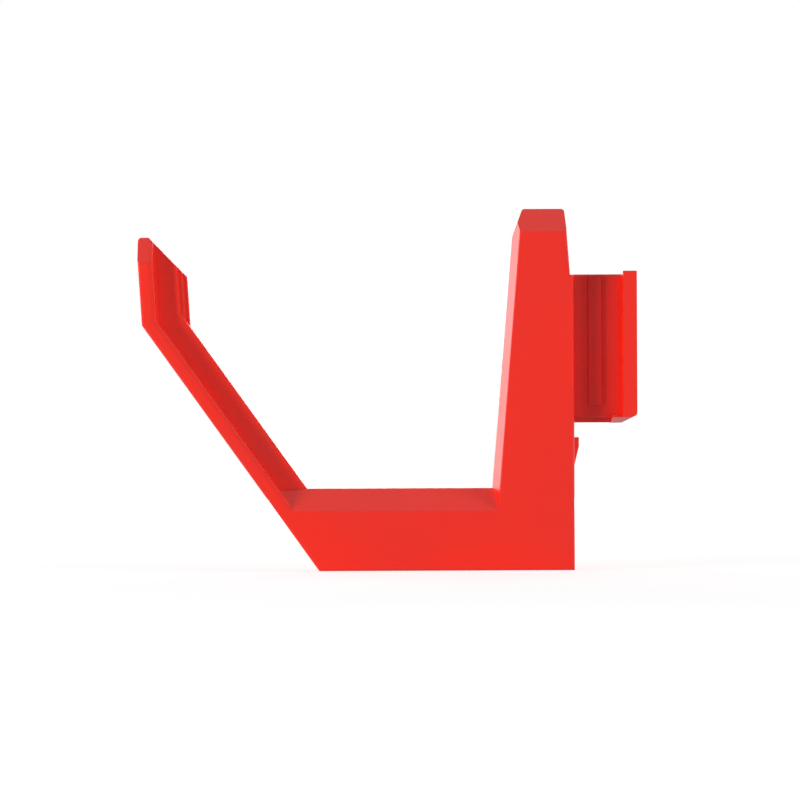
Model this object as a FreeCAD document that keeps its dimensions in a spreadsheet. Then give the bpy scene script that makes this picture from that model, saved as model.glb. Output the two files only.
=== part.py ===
import FreeCAD, Part
import os

import Sketcher

Vector = FreeCAD.Vector

NODE = "utility_hook"

# Sizes of the hook in millimetres and degrees.
# Reaches are measured forward from the plane of the back face, heights up from the underside.
SIZES = [
    ("body_width", 22.0),
    ("base_length", 76.8),
    ("bar_height", 24.8),
    ("arm_reach", 129.8),
    ("arm_rise", 74.0),
    ("arm_depth", 11.3),
    ("arm_band", 4.4),
    ("tip_height", 100.9),
    ("tip_flare", 1.7),
    ("tip_depth", 11.2),
    ("tip_band", 4.5),
    ("tip_land", 3.2),
    ("tip_cut_angle", 46.0),
    ("front_foot", 24.5),
    ("front_head", 17.6),
    ("shoulder_drop", 6.6),
    ("shoulder_set", 2.4),
    ("upright_height", 109.1),
    ("crown_set", 2.6),
    ("crown_foot", 1.1),
    ("ledge_drop", 0.6),
    ("bevel", 7.0),
    ("tip_bevel", 8.2),
    ("crown_bevel", 7.5),
    ("front_bevel", 2.2),
    ("front_bevel_run", 7.0),
    ("foot_reach", 14.7),
    ("foot_bottom", 45.9),
    ("foot_height", 43.5),
    ("neck_width", 5.0),
    ("neck_round", 0.8),
    ("rib_set", 4.6),
    ("rib_span", 4.2),
    ("rib_stand", 1.2),
    ("rib_clear_low", 3.6),
    ("rib_clear_high", 0.9),
    ("flange_thickness", 4.2),
    ("flange_rise", 0.4),
    ("flange_width", 22.0),
    ("flange_round", 1.5),
    ("flange_crest", 0.3),
    ("root_flare", 1.0),
    ("keel_width", 2.6),
    ("keel_drop", 1.4),
    ("toe_width", 20.0),
    ("toe_land", 9.0),
    ("toe_edge", 0.6),
    ("toe_drop", 1.5),
    ("toe_set", 3.2),
    ("toe_turn", 3.2),
    ("toe_rise", 2.2),
    ("toe_clear", 0.8),
    ("barb_width", 6.0),
    ("barb_height", 40.0),
    ("barb_stand", 1.7),
    ("barb_land", 2.7),
    ("barb_ramp", 7.2),
    ("pad_low_width", 5.4),
    ("pad_high_width", 3.0),
    ("pad_step", 1.3),
    ("step_round", 0.4),
    ("edge_round", 1.0),
    ("band_round", 1.6),
    ("crown_round", 1.0),
    ("ridge_round", 2.0),
    ("rim_round", 1.2),
    ("overlap", 2.0),
    ("mount_height", 67.3),
]

# Lines of the side profile, in order.
PROFILE_LINES = [
    "underside", "arm", "tip", "tip_top", "tip_inner", "arm_inner",
    "bar_top", "front", "head_top", "crown", "ledge", "back",
]
LINE = {name: number for number, name in enumerate(PROFILE_LINES)}

# What a sketch calls its origin and its two axes, and how near counts as touching.
ORIGIN = (-1, 1)
UPRIGHT_AXIS = (-2,)
LEVEL_AXIS = (-1,)
TOUCH = 0.02

doc = FreeCAD.newDocument("hook")
sheet = doc.addObject("Spreadsheet::Sheet", "Dims")
for row, (alias, size) in enumerate(SIZES, start=1):
    sheet.set("A%d" % row, alias)
    sheet.set("B%d" % row, str(size))
    sheet.setAlias("B%d" % row, alias)
doc.recompute()

body = doc.addObject("PartDesign::Body", "Hook")
body.Label = NODE


def value(expression):
    """Work out an expression of the sheet."""
    return float(body.evalExpression(expression))


def origin_plane(role):
    """Return the body's own origin plane with this role."""
    for feature in body.Origin.OriginFeatures:
        if feature.Role == role:
            return feature
    raise RuntimeError("no plane " + role)


def plane_sketch(name, role):
    """Start a sketch on one of the body's origin planes."""
    sketch = body.newObject("Sketcher::SketchObject", name)
    sketch.AttachmentSupport = [(origin_plane(role), "")]
    sketch.MapMode = "FlatFace"
    return sketch


def side_sketch(name):
    """Start a sketch in the plane of the hook's side profile."""
    return plane_sketch(name, "XZ_Plane")


def closed_outline(sketch, points, flats=(), uprights=()):
    """Join lines through rough points into a closed outline, with some held level or upright."""
    count = len(points)
    for i, point in enumerate(points):
        after = points[(i + 1) % count]
        sketch.addGeometry(Part.LineSegment(Vector(*point, 0), Vector(*after, 0)), False)
    for i in range(count):
        sketch.addConstraint(Sketcher.Constraint("Coincident", i, 2, (i + 1) % count, 1))
    for flat in flats:
        sketch.addConstraint(Sketcher.Constraint("Horizontal", flat))
    for upright in uprights:
        sketch.addConstraint(Sketcher.Constraint("Vertical", upright))


def borrowed(sketch, source, line):
    """Show one line of another sketch in this one and return its number here."""
    sketch.addExternal(source.Name, "Edge%d" % (line + 1))
    shown = sum(len(edges) for _, edges in sketch.ExternalGeometry)
    return -2 - shown


def drive(sketch, name, expression, *constraint):
    """Add one dimension to a sketch and bind it to the sheet."""
    index = sketch.addConstraint(Sketcher.Constraint(*constraint, value(expression)))
    sketch.renameConstraint(index, name)
    sketch.setExpression("Constraints." + name, expression)


def start(line):
    """Name the start of a line of the side profile, as a constraint takes it."""
    return LINE[line], 1


def padded(name, sketch, length, side="Symmetric"):
    """Pad a sketch, to both sides of its plane unless told otherwise."""
    pad = body.newObject("PartDesign::Pad", name)
    pad.Profile = sketch
    pad.SideType = side
    pad.setExpression("Length", length)
    sketch.Visibility = False
    doc.recompute()
    return pad


def through_cut(name, sketch):
    """Cut a side sketch right through the hook's width."""
    pocket = body.newObject("PartDesign::Pocket", name)
    pocket.Profile = sketch
    pocket.SideType = "Symmetric"
    pocket.setExpression("Length", "Dims.body_width + Dims.overlap")
    sketch.Visibility = False
    doc.recompute()
    return pocket


def rounded(name, base, names, radius):
    """Round the named edges of a feature."""
    fillet = body.newObject("PartDesign::Fillet", name)
    fillet.Base = (base, names)
    fillet.setExpression("Radius", "Dims." + radius)
    doc.recompute()
    return fillet


def chosen(feature, wanted):
    """Name the edges of a feature whose end points pass a test."""
    names = []
    for number, edge in enumerate(feature.Shape.Edges, start=1):
        if wanted([vertex.Point for vertex in edge.Vertexes]):
            names.append("Edge%d" % number)
    return names


def one_side(points, offset):
    """Tell whether these points all lie this far to the same side of the middle."""
    return points[0].y * points[-1].y > 0 and all(abs(abs(p.y) - offset) < TOUCH for p in points)


def offset_edges(feature, offset):
    """Name the edges that lie wholly this far to either side of the middle."""
    return chosen(feature, lambda points: one_side(points, offset))


def line_edges(feature, sketch, lines, offset):
    """Name the edges that follow these lines of a side sketch, this far to either side."""
    names = []
    for line in lines:
        segment = sketch.Geometry[line]
        foot = Vector(segment.StartPoint.x, 0, segment.StartPoint.y)
        end = Vector(segment.EndPoint.x, 0, segment.EndPoint.y)
        along = (end - foot).normalize()

        def follows(points):
            reaches = [Vector(point.x, 0, point.z) - foot for point in points]
            misses = [(reach - along * reach.dot(along)).Length for reach in reaches]
            return one_side(points, offset) and max(misses) < TOUCH

        names += chosen(feature, follows)
    return names


def level_edges(feature, offset, heights):
    """Name the level edges from the crown rearward, this far to either side, at these heights."""
    def wanted(points):
        level = any(all(abs(point.z - height) < TOUCH for point in points) for height in heights)
        rearward = all(point.x > -sheet.crown_set - TOUCH for point in points)
        return level and rearward and one_side(points, offset)

    return chosen(feature, wanted)


def cross_edges(feature, reach, height):
    """Name the edges that run across the hook at this reach and height."""
    def wanted(points):
        return all(max(abs(p.x - reach), abs(p.z - height)) < TOUCH for p in points)

    return chosen(feature, wanted)


# Profile of the moulding at its middle: base, slanting arm, upturned tip, bar and upright.
tip_start = -sheet.arm_reach
tip_end = -sheet.arm_reach - sheet.tip_flare
arm_lean = (sheet.arm_reach - sheet.base_length) / sheet.arm_rise
arm_start = -sheet.base_length - arm_lean * sheet.bar_height
neck_top = sheet.foot_bottom + sheet.foot_height
foot_top = "Dims.foot_bottom + Dims.foot_height"

profile = side_sketch("Profile")
rough = [
    (0, 0), (-sheet.base_length, 0), (tip_start, sheet.arm_rise), (tip_end, sheet.tip_height),
    (tip_end + sheet.tip_band, sheet.tip_height), (tip_start + sheet.tip_band, sheet.arm_rise),
    (arm_start + sheet.arm_band, sheet.bar_height), (-sheet.front_foot, sheet.bar_height),
    (-sheet.front_head, sheet.upright_height), (-sheet.crown_set, sheet.upright_height),
    (-sheet.crown_foot, neck_top), (0, neck_top),
]
level_lines = [LINE[name] for name in ("underside", "tip_top", "bar_top", "head_top", "ledge")]
closed_outline(profile, rough, level_lines, [LINE["back"]])
profile.addConstraint(Sketcher.Constraint("Coincident", *start("underside"), *ORIGIN))
profile.addConstraint(Sketcher.Constraint("Parallel", LINE["tip"], LINE["tip_inner"]))
profile.addConstraint(Sketcher.Constraint("Parallel", LINE["arm"], LINE["arm_inner"]))
drive(profile, "base", "Dims.base_length", "DistanceX", *start("arm"), *ORIGIN)
drive(profile, "reach", "Dims.arm_reach", "DistanceX", *start("tip"), *ORIGIN)
drive(profile, "rise", "Dims.arm_rise", "DistanceY", *ORIGIN, *start("tip"))
drive(profile, "flare", "Dims.tip_flare", "DistanceX", *start("tip_top"), *start("tip"))
drive(profile, "tip_high", "Dims.tip_height", "DistanceY", *ORIGIN, *start("tip_top"))
drive(profile, "tip_through", "Dims.tip_band", "Distance", *start("arm_inner"), LINE["tip"])
drive(profile, "arm_through", "Dims.arm_band", "Distance", *start("bar_top"), LINE["arm"])
drive(profile, "bar_high", "Dims.bar_height", "DistanceY", *ORIGIN, *start("bar_top"))
drive(profile, "foot_front", "Dims.front_foot", "DistanceX", *start("front"), *ORIGIN)
drive(profile, "head_front", "Dims.front_head", "DistanceX", *start("head_top"), *ORIGIN)
drive(profile, "head_high", "Dims.upright_height", "DistanceY", *ORIGIN, *start("head_top"))
drive(profile, "crown_in", "Dims.crown_set", "DistanceX", *start("crown"), *ORIGIN)
drive(profile, "crown_low", "Dims.crown_foot", "DistanceX", *start("ledge"), *ORIGIN)
drive(profile, "ledge_high", foot_top + " - Dims.ledge_drop", "DistanceY", *ORIGIN, *start("back"))
moulding = padded("Moulding", profile, "Dims.body_width")

half_width = sheet.body_width / 2
ridge_offset = half_width - sheet.bevel


def bevelled(name, base, line, inward, across):
    """Bevel both sides of one profile line: so far in on the side, so far across its own face."""
    reach = half_width - getattr(sheet, across)
    for done, side in enumerate(("Near", "Far"), start=1):
        chamfer = body.newObject("PartDesign::Chamfer", name + side)
        chamfer.Base = (base, line_edges(base, profile, [LINE[line]], half_width)[:1])
        chamfer.ChamferType = "Two distances"
        chamfer.setExpression("Size", "Dims." + inward)
        chamfer.setExpression("Size2", "Dims." + across)
        doc.recompute()
        if len(line_edges(chamfer, profile, [LINE[line]], reach)) < done:
            chamfer.FlipDirection = True
            doc.recompute()
        base = chamfer
    return base


# Wide bevels along the bar and over the two upturned ends, a shallower one down the front.
bevel = bevelled("BarBevel", moulding, "bar_top", "bevel", "bevel")
bevel = bevelled("TipBevel", bevel, "tip_top", "tip_bevel", "bevel")
bevel = bevelled("FrontBevel", bevel, "front", "front_bevel", "front_bevel_run")
bevel = bevelled("CrownBevel", bevel, "head_top", "crown_bevel", "bevel")
ridge_names = line_edges(bevel, profile, [LINE["bar_top"]], ridge_offset)
ridge = rounded("RidgeRound", bevel, ridge_names, "ridge_round")
band_names = line_edges(ridge, profile, [LINE["tip_inner"], LINE["arm_inner"]], half_width)
band = rounded("BandRound", ridge, band_names, "band_round")
rounded("SideRound", band, offset_edges(band, half_width), "edge_round")

# Web that fills the inside of the slanting arm and of the tip, set in from the band on both sides.
web_outline = side_sketch("WebOutline")
arm_line = borrowed(web_outline, profile, LINE["arm"])
tip_line = borrowed(web_outline, profile, LINE["tip"])
rough = [
    (arm_start + sheet.arm_depth, sheet.bar_height), (tip_start + sheet.tip_depth, sheet.arm_rise),
    (tip_end + sheet.tip_depth, sheet.tip_height), (tip_end + sheet.tip_band, sheet.tip_height),
    (tip_start + sheet.tip_band, sheet.arm_rise), (arm_start + sheet.arm_band, sheet.bar_height),
]
closed_outline(web_outline, rough, flats=(2, 5))
for along, guide in ((0, arm_line), (4, arm_line), (1, tip_line), (3, tip_line)):
    web_outline.addConstraint(Sketcher.Constraint("Parallel", along, guide))
drive(web_outline, "arm_through", "Dims.arm_depth", "Distance", 0, 1, arm_line)
drive(web_outline, "tip_through", "Dims.tip_depth", "Distance", 2, 1, tip_line)
drive(web_outline, "tip_sunk", "Dims.tip_band / 2", "Distance", 3, 1, tip_line)
drive(web_outline, "arm_sunk", "Dims.arm_band / 2", "Distance", 5, 1, arm_line)
drive(web_outline, "low", "Dims.bar_height - Dims.overlap", "DistanceY", *ORIGIN, 0, 1)
drive(web_outline, "high", "Dims.tip_height", "DistanceY", *ORIGIN, 2, 1)
web = padded("Web", web_outline, "Dims.body_width - 2 * Dims.bevel")
rounded("RimRound", web, line_edges(web, web_outline, (0, 1), ridge_offset), "rim_round")


def tip_step(name, steps, width):
    """Raise one step of the rib along the middle of the tip's inner face."""
    sketch = side_sketch(name + "Outline")
    inner = borrowed(sketch, web_outline, 1)
    face = sheet.tip_depth + steps * sheet.pad_step
    rough = [
        (tip_start, sheet.arm_rise), (tip_start + face, sheet.arm_rise),
        (tip_end + face, sheet.tip_height), (tip_end, sheet.tip_height),
    ]
    closed_outline(sketch, rough, flats=(0, 2))
    for along in (1, 3):
        sketch.addConstraint(Sketcher.Constraint("Parallel", along, inner))
    drive(sketch, "proud", "%d * Dims.pad_step" % steps, "Distance", 1, 1, inner)
    drive(sketch, "sunk", "Dims.tip_depth / 2", "Distance", 3, 1, inner)
    drive(sketch, "low", "Dims.arm_rise - Dims.overlap", "DistanceY", *ORIGIN, 0, 1)
    drive(sketch, "high", "Dims.tip_height - Dims.overlap", "DistanceY", *ORIGIN, 2, 1)
    pad = padded(name, sketch, "Dims." + width)
    names = line_edges(pad, sketch, (1,), getattr(sheet, width) / 2)
    rounded(name + "Round", pad, names, "step_round")


tip_step("LowStep", 1, "pad_low_width")
tip_step("HighStep", 2, "pad_high_width")


def corner_cut(name, height, near, far, drop):
    """Cut a slanting corner off an upturned end, right through its width."""
    sketch = side_sketch(name + "Outline")
    top = value(height)
    rough = [(-value(near), top), (-value(far), top - value(drop)), (-value(far), top)]
    closed_outline(sketch, rough, flats=(2,), uprights=(1,))
    drive(sketch, "near", near, "DistanceX", 0, 1, *ORIGIN)
    drive(sketch, "height", height, "DistanceY", *ORIGIN, 0, 1)
    drive(sketch, "far", far, "DistanceX", 1, 1, *ORIGIN)
    drive(sketch, "drop", drop, "DistanceY", 1, 1, 0, 1)
    return through_cut(name, sketch)


# Slanting corners of the tip and of the upright's shoulder, then rounded crests.
tip_near = "(Dims.arm_reach + Dims.tip_flare - Dims.tip_land)"
tip_far = "(Dims.arm_reach - Dims.tip_depth - 2 * Dims.pad_step - Dims.overlap)"
tip_drop = "(%s - %s) * tan(Dims.tip_cut_angle * 1 deg)" % (tip_near, tip_far)
corner_cut("TipCut", "Dims.tip_height", tip_near, tip_far, tip_drop)
shoulder_near = "(Dims.front_head - Dims.shoulder_set)"
shoulder_far = "(Dims.front_head + Dims.overlap)"
shoulder_drop = "(Dims.shoulder_set + Dims.overlap) * Dims.shoulder_drop / Dims.shoulder_set"
shoulder = corner_cut(
    "ShoulderCut", "Dims.upright_height", shoulder_near, shoulder_far, shoulder_drop)
crests = [
    (-sheet.crown_set, sheet.upright_height),
    (sheet.shoulder_set - sheet.front_head, sheet.upright_height),
    (tip_end, sheet.tip_height),
]
crest_names = [name for crest in crests for name in cross_edges(shoulder, *crest)]
rounded("CrownRound", shoulder, crest_names, "crown_round")


def block(name, left, right, bottom, top, width):
    """Pad a rectangle between four expressions, sunk into the upright where left is None."""
    sketch = side_sketch(name + "Outline")
    near = -sheet.overlap if left is None else value(left)
    far = value(right)
    low = value(bottom)
    high = value(top)
    closed_outline(sketch, [(near, low), (far, low), (far, high), (near, high)], (0, 2), (1, 3))
    if left is None:
        drive(sketch, "left", "Dims.overlap", "DistanceX", 0, 1, *ORIGIN)
    else:
        drive(sketch, "left", left, "DistanceX", *ORIGIN, 0, 1)
    drive(sketch, "right", right, "DistanceX", *ORIGIN, 1, 1)
    drive(sketch, "bottom", bottom, "DistanceY", *ORIGIN, 0, 1)
    drive(sketch, "top", top, "DistanceY", *ORIGIN, 2, 1)
    return padded(name, sketch, width)


# Foot behind the upright: a neck with a rib down each side and a flange across its end.
foot_end = "Dims.foot_reach + Dims.flange_thickness"
flange_back = value(foot_end)
flange_top = neck_top + sheet.flange_rise
neck = block(
    "Neck", None, "Dims.foot_reach + Dims.overlap", "Dims.foot_bottom", foot_top, "Dims.neck_width")
neck_names = level_edges(neck, sheet.neck_width / 2, (sheet.foot_bottom, neck_top))
rounded("NeckRound", neck, neck_names, "neck_round")
block(
    "SideRibs", "Dims.rib_set", "Dims.rib_set + Dims.rib_span",
    "Dims.foot_bottom + Dims.rib_clear_low", foot_top + " - Dims.rib_clear_high",
    "Dims.neck_width + 2 * Dims.rib_stand")
flange = block(
    "Flange", "Dims.foot_reach", foot_end, "Dims.foot_bottom", foot_top + " + Dims.flange_rise",
    "Dims.flange_width")
heel_names = cross_edges(flange, flange_back, sheet.foot_bottom)
flange = rounded("HeelRound", flange, heel_names, "flange_round")
crest_names = cross_edges(flange, flange_back, flange_top)
crest_names += cross_edges(flange, sheet.foot_reach, flange_top)
rounded("CrestRound", flange, crest_names, "flange_crest")

# Root of the flange, flaring out from the neck.
root_outline = plane_sketch("RootOutline", "XY_Plane")
root_outline.setExpression("AttachmentOffset.Base.z", "Dims.foot_bottom + Dims.neck_round")
root_start = sheet.foot_reach - sheet.root_flare
narrow = sheet.neck_width / 2
wide = narrow + sheet.root_flare
rough = [(root_start, -narrow), (sheet.foot_reach, -wide), (sheet.foot_reach, wide), (root_start, narrow)]
closed_outline(root_outline, rough)
for left, right in ((0, 3), (1, 2)):
    root_outline.addConstraint(Sketcher.Constraint("Symmetric", left, 1, right, 1, *LEVEL_AXIS))
drive(root_outline, "narrow", "Dims.neck_width", "DistanceY", 0, 1, 3, 1)
drive(root_outline, "wide", "Dims.neck_width + 2 * Dims.root_flare", "DistanceY", 1, 1, 2, 1)
drive(root_outline, "start", "Dims.foot_reach - Dims.root_flare", "DistanceX", *ORIGIN, 0, 1)
drive(root_outline, "end", "Dims.foot_reach", "DistanceX", *ORIGIN, 1, 1)
padded("Root", root_outline, "Dims.foot_height - 2 * Dims.neck_round", "One side")

# Keel under the neck.
block(
    "Keel", None, "Dims.foot_reach", "Dims.foot_bottom - Dims.keel_drop",
    "Dims.foot_bottom + Dims.overlap", "Dims.keel_width")

# Toe under the flange, crowned across the hook and sloping up to the rear.
toe_outline = plane_sketch("ToeOutline", "YZ_Plane")
toe_outline.setExpression("AttachmentOffset.Base.z", "Dims.foot_reach - Dims.toe_set")
side = sheet.toe_width / 2
land = sheet.toe_land / 2
edge = sheet.foot_bottom
high = sheet.foot_bottom + sheet.toe_edge
low = sheet.foot_bottom - sheet.toe_drop
rough = [(-side, high), (-side, edge), (-land, low), (land, low), (side, edge), (side, high)]
closed_outline(toe_outline, rough, flats=(5,), uprights=(0, 4))
for left, right in ((1, 4), (2, 3)):
    toe_outline.addConstraint(Sketcher.Constraint("Symmetric", left, 1, right, 1, *UPRIGHT_AXIS))
drive(toe_outline, "width", "Dims.toe_width", "DistanceX", 1, 1, 4, 1)
drive(toe_outline, "land", "Dims.toe_land", "DistanceX", 2, 1, 3, 1)
drive(toe_outline, "edge", "Dims.foot_bottom", "DistanceY", *ORIGIN, 1, 1)
drive(toe_outline, "low", "Dims.foot_bottom - Dims.toe_drop", "DistanceY", *ORIGIN, 2, 1)
drive(toe_outline, "high", "Dims.foot_bottom + Dims.toe_edge", "DistanceY", *ORIGIN, 0, 1)
padded("Toe", toe_outline, "Dims.toe_set + Dims.flange_thickness - Dims.toe_clear", "One side")

slope_outline = side_sketch("ToeSlopeOutline")
slope_start = "Dims.foot_reach - Dims.toe_set + Dims.toe_turn"
rough = [(value(slope_start), low), (flange_back, low), (flange_back, low + sheet.toe_rise)]
closed_outline(slope_outline, rough, flats=(0,), uprights=(1,))
drive(slope_outline, "start", slope_start, "DistanceX", *ORIGIN, 0, 1)
drive(slope_outline, "end", foot_end, "DistanceX", *ORIGIN, 1, 1)
drive(slope_outline, "low", "Dims.foot_bottom - Dims.toe_drop", "DistanceY", *ORIGIN, 0, 1)
drive(slope_outline, "rise", "Dims.toe_rise", "DistanceY", 1, 1, 2, 1)
through_cut("ToeSlope", slope_outline)

# Barb that snaps under the lower edge of the rail.
barb_outline = side_sketch("BarbOutline")
shoulder_height = sheet.barb_height - sheet.barb_land
rough = [
    (0, shoulder_height - sheet.barb_ramp), (sheet.barb_stand, shoulder_height),
    (sheet.barb_stand, sheet.barb_height), (0, sheet.barb_height),
]
closed_outline(barb_outline, rough, flats=(2,), uprights=(1,))
for corner in (0, 3):
    barb_outline.addConstraint(Sketcher.Constraint("PointOnObject", corner, 1, *UPRIGHT_AXIS))
drive(barb_outline, "stand", "Dims.barb_stand", "DistanceX", *ORIGIN, 2, 1)
drive(barb_outline, "height", "Dims.barb_height", "DistanceY", *ORIGIN, 3, 1)
drive(barb_outline, "land", "Dims.barb_land", "DistanceY", 1, 1, 2, 1)
drive(barb_outline, "ramp", "Dims.barb_ramp", "DistanceY", 0, 1, 1, 1)
padded("Barb", barb_outline, "Dims.barb_width")

# The frame's origin is on the seating plane, at the middle of the foot's height.
body.setExpression("Placement.Base.z", "-Dims.mount_height")
doc.recompute()

for item in doc.Objects:
    if "Invalid" in item.State or "Error" in item.State:
        raise RuntimeError(item.Name + " failed")
hook = body.Shape
if hook.isNull() or not hook.isValid() or len(hook.Solids) != 1:
    raise RuntimeError("the hook is not one valid solid")
os.makedirs("parts", exist_ok=True)
hook.exportStep(os.path.join("parts", body.Label + ".step"))
print(body.Label, round(hook.Volume, 1), hook.BoundBox)
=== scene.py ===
import math

import bpy
from mathutils import Euler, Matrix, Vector


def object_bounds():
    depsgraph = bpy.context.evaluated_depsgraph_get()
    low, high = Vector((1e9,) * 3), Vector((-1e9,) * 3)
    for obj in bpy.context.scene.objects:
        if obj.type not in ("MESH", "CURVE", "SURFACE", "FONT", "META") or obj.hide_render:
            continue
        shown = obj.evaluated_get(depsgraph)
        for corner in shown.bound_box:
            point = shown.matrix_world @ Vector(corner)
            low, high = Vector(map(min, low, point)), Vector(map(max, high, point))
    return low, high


NODE = "utility_hook"
SLOT = "red_plastic"

# Plastic: satin, faintly clouded by the moulding's flow, finely grained, soft at its edges.
SPECULAR = 0.42
CLOUDS_PER_METRE = 22.0
CLOUD_DETAIL = 3.0
CLOUD_LOW = 0.35
CLOUD_HIGH = 0.65
RED_LOW = (0.81, 0.020, 0.010, 1.0)
RED_HIGH = (0.87, 0.022, 0.010, 1.0)
ROUGHNESS_LOW = 0.31
ROUGHNESS_HIGH = 0.37
GRAIN_PER_METRE = 1500.0
GRAIN_DETAIL = 2.0
GRAIN_STRENGTH = 0.01
GRAIN_HEIGHT = 0.0003
EDGE_SOFTNESS = 0.0005
EDGE_SAMPLES = 6

# Camera: a long lens, level with the bar, square to the hook's side.
LENS = 120.0
SENSOR = 36.0
CAMERA_AT = (-0.0404, -0.811, -0.0355)
CAMERA_LEVEL = 90.0
CAMERA_ROLL = -0.25
SHIFT_X = -0.05
SHIFT_Y = 0.081
NEAREST = 0.01
FARTHEST = 50.0

# Floor and studio.
FLOOR_SIDE = 12.0
FLOOR_GAP = 0.0002
FLOOR_COLOUR = (0.70, 0.70, 0.70, 1.0)
FLOOR_LIFT_NEAR = 0.73
FLOOR_LIFT_FAR = 0.93
LIFT_FROM = 0.2
LIFT_TO = 0.9
WHITE = (1.0, 1.0, 1.0, 1.0)
WORLD_FILL = 0.11
WORLD_SHOWN = 1.0

# Lamps: name, place, aim, side lengths, power, whether they show in reflections.
CENTRE = (-0.05, 0.0, -0.02)
LAMPS = [
    ("left", (-1.43, -0.93, 0.06), CENTRE, (0.8, 0.25), 24.5, False),
    ("right", (1.46, -0.67, 0.07), CENTRE, (0.8, 0.25), 19.2, False),
    ("rear", (0.10, 1.60, 0.40), CENTRE, (1.2, 0.8), 9.6, True),
    ("top", (0.0, -0.20, 1.40), CENTRE, (1.0, 1.0), 1.0, True),
    ("left_card", (-0.80, 0.85, 0.10), CENTRE, (0.9, 0.8), 4.0, True),
]


def new_node(tree, kind, **values):
    """Add a node of this kind and set its inputs, named with underscores for spaces."""
    node = tree.nodes.new("ShaderNode" + kind)
    for name, value in values.items():
        node.inputs[name.replace("_", " ")].default_value = value
    return node


def plastic():
    """Satin moulded plastic: faint clouds in its colour and gloss, a fine grain and soft edges."""
    material = bpy.data.materials.new(SLOT)
    material.use_nodes = True
    tree = material.node_tree
    shader = tree.nodes["Principled BSDF"]
    shader.inputs["Specular IOR Level"].default_value = SPECULAR
    place = new_node(tree, "TexCoord")

    clouds = new_node(tree, "TexNoise", Scale=CLOUDS_PER_METRE, Detail=CLOUD_DETAIL)
    tree.links.new(place.outputs["Object"], clouds.inputs["Vector"])
    tint = new_node(tree, "ValToRGB")
    stops = ((CLOUD_LOW, RED_LOW), (CLOUD_HIGH, RED_HIGH))
    for element, (position, colour) in zip(tint.color_ramp.elements, stops):
        element.position = position
        element.color = colour
    tree.links.new(clouds.outputs["Fac"], tint.inputs["Fac"])
    tree.links.new(tint.outputs["Color"], shader.inputs["Base Color"])
    gloss = new_node(
        tree, "MapRange", From_Min=CLOUD_LOW, From_Max=CLOUD_HIGH,
        To_Min=ROUGHNESS_LOW, To_Max=ROUGHNESS_HIGH)
    tree.links.new(clouds.outputs["Fac"], gloss.inputs["Value"])
    tree.links.new(gloss.outputs["Result"], shader.inputs["Roughness"])

    grain = new_node(tree, "TexNoise", Scale=GRAIN_PER_METRE, Detail=GRAIN_DETAIL)
    tree.links.new(place.outputs["Object"], grain.inputs["Vector"])
    edges = new_node(tree, "Bevel", Radius=EDGE_SOFTNESS)
    edges.samples = EDGE_SAMPLES
    bump = new_node(tree, "Bump", Strength=GRAIN_STRENGTH, Distance=GRAIN_HEIGHT)
    tree.links.new(grain.outputs["Fac"], bump.inputs["Height"])
    tree.links.new(edges.outputs["Normal"], bump.inputs["Normal"])
    tree.links.new(bump.outputs["Normal"], shader.inputs["Normal"])
    return material


def dress(node):
    """Give the CAD node its plastic."""
    node.data.materials.clear()
    node.data.materials.append(plastic())


def seen_plainly(tree):
    """Return a socket that is 1 for what the camera, a reflection or a clear piece sees."""
    path = new_node(tree, "LightPath")
    total = path.outputs["Is Camera Ray"]
    for ray in ("Is Glossy Ray", "Is Transmission Ray"):
        either = new_node(tree, "Math")
        either.operation = "MAXIMUM"
        tree.links.new(total, either.inputs[0])
        tree.links.new(path.outputs[ray], either.inputs[1])
        total = either.outputs["Value"]
    return total


def floor_lift(tree):
    """Return a socket with the floor's own glow, which grows away from the hook."""
    spot = new_node(tree, "NewGeometry")
    away = new_node(tree, "VectorMath")
    away.operation = "LENGTH"
    tree.links.new(spot.outputs["Position"], away.inputs[0])
    ramp = new_node(
        tree, "MapRange", From_Min=LIFT_FROM, From_Max=LIFT_TO,
        To_Min=FLOOR_LIFT_NEAR, To_Max=FLOOR_LIFT_FAR)
    tree.links.new(away.outputs["Value"], ramp.inputs["Value"])
    scale = new_node(tree, "Math")
    scale.operation = "MULTIPLY"
    tree.links.new(seen_plainly(tree), scale.inputs[0])
    tree.links.new(ramp.outputs["Result"], scale.inputs[1])
    return scale.outputs["Value"]


def floor(height):
    """Pale floor under the hook that shows white and keeps a soft shadow."""
    bpy.ops.mesh.primitive_plane_add(size=FLOOR_SIDE, location=(0.0, 0.0, height - FLOOR_GAP))
    plane = bpy.context.object
    plane.name = "floor"
    material = bpy.data.materials.new("floor")
    material.use_nodes = True
    tree = material.node_tree
    tree.nodes.clear()
    matt = new_node(tree, "BsdfDiffuse", Color=FLOOR_COLOUR)
    glow = new_node(tree, "Emission", Color=WHITE)
    both = new_node(tree, "AddShader")
    output = new_node(tree, "OutputMaterial")
    tree.links.new(floor_lift(tree), glow.inputs["Strength"])
    tree.links.new(matt.outputs["BSDF"], both.inputs[0])
    tree.links.new(glow.outputs["Emission"], both.inputs[1])
    tree.links.new(both.outputs["Shader"], output.inputs["Surface"])
    plane.data.materials.append(material)


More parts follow.
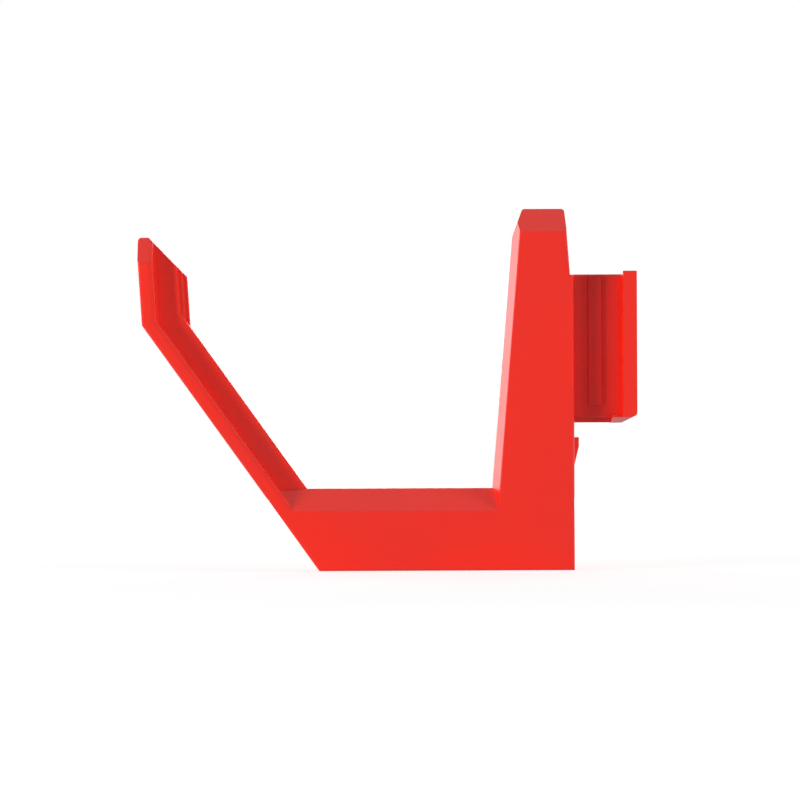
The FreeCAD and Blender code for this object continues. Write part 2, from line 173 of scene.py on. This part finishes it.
def studio():
    """White surroundings that light the hook at a plain level."""
    world = bpy.data.worlds.new("studio")
    bpy.context.scene.world = world
    world.use_nodes = True
    tree = world.node_tree
    tree.nodes.clear()
    fill = new_node(tree, "Background", Color=WHITE, Strength=WORLD_FILL)
    shown = new_node(tree, "Background", Color=WHITE, Strength=WORLD_SHOWN)
    choose = new_node(tree, "MixShader")
    output = new_node(tree, "OutputWorld")
    tree.links.new(seen_plainly(tree), choose.inputs["Fac"])
    tree.links.new(fill.outputs["Background"], choose.inputs[1])
    tree.links.new(shown.outputs["Background"], choose.inputs[2])
    tree.links.new(choose.outputs["Shader"], output.inputs["Surface"])


def lamp(name, place, aim, sides, power, mirrored):
    """Add one soft rectangular lamp."""
    light = bpy.data.lights.new(name, "AREA")
    light.shape = "RECTANGLE"
    light.size, light.size_y = sides
    light.energy = power
    holder = bpy.data.objects.new(name, light)
    holder.location = place
    holder.rotation_euler = (Vector(aim) - Vector(place)).to_track_quat("-Z", "Y").to_euler()
    holder.visible_camera = False
    holder.visible_glossy = mirrored
    bpy.context.collection.objects.link(holder)


def camera():
    """Set the camera square to the hook's side."""
    lens = bpy.data.cameras.new("camera")
    lens.lens = LENS
    lens.sensor_width = SENSOR
    lens.shift_x = SHIFT_X
    lens.shift_y = SHIFT_Y
    lens.clip_start = NEAREST
    lens.clip_end = FARTHEST
    holder = bpy.data.objects.new("camera", lens)
    holder.location = CAMERA_AT
    level = Euler((math.radians(CAMERA_LEVEL), 0.0, 0.0)).to_matrix()
    roll = Euler((0.0, 0.0, math.radians(CAMERA_ROLL))).to_matrix()
    holder.rotation_euler = (level @ roll).to_euler()
    bpy.context.collection.objects.link(holder)
    bpy.context.scene.camera = holder


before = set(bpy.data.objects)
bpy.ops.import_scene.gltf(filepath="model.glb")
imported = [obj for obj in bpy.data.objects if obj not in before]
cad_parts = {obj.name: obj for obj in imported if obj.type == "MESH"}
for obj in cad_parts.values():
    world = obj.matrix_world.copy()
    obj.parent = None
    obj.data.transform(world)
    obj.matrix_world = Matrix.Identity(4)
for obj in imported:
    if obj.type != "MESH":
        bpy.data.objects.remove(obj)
cad_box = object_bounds()
bpy.context.scene.view_settings.view_transform = "Standard"
dress(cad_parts[NODE])
floor(cad_box[0][2])
studio()
for setting in LAMPS:
    lamp(*setting)
camera()
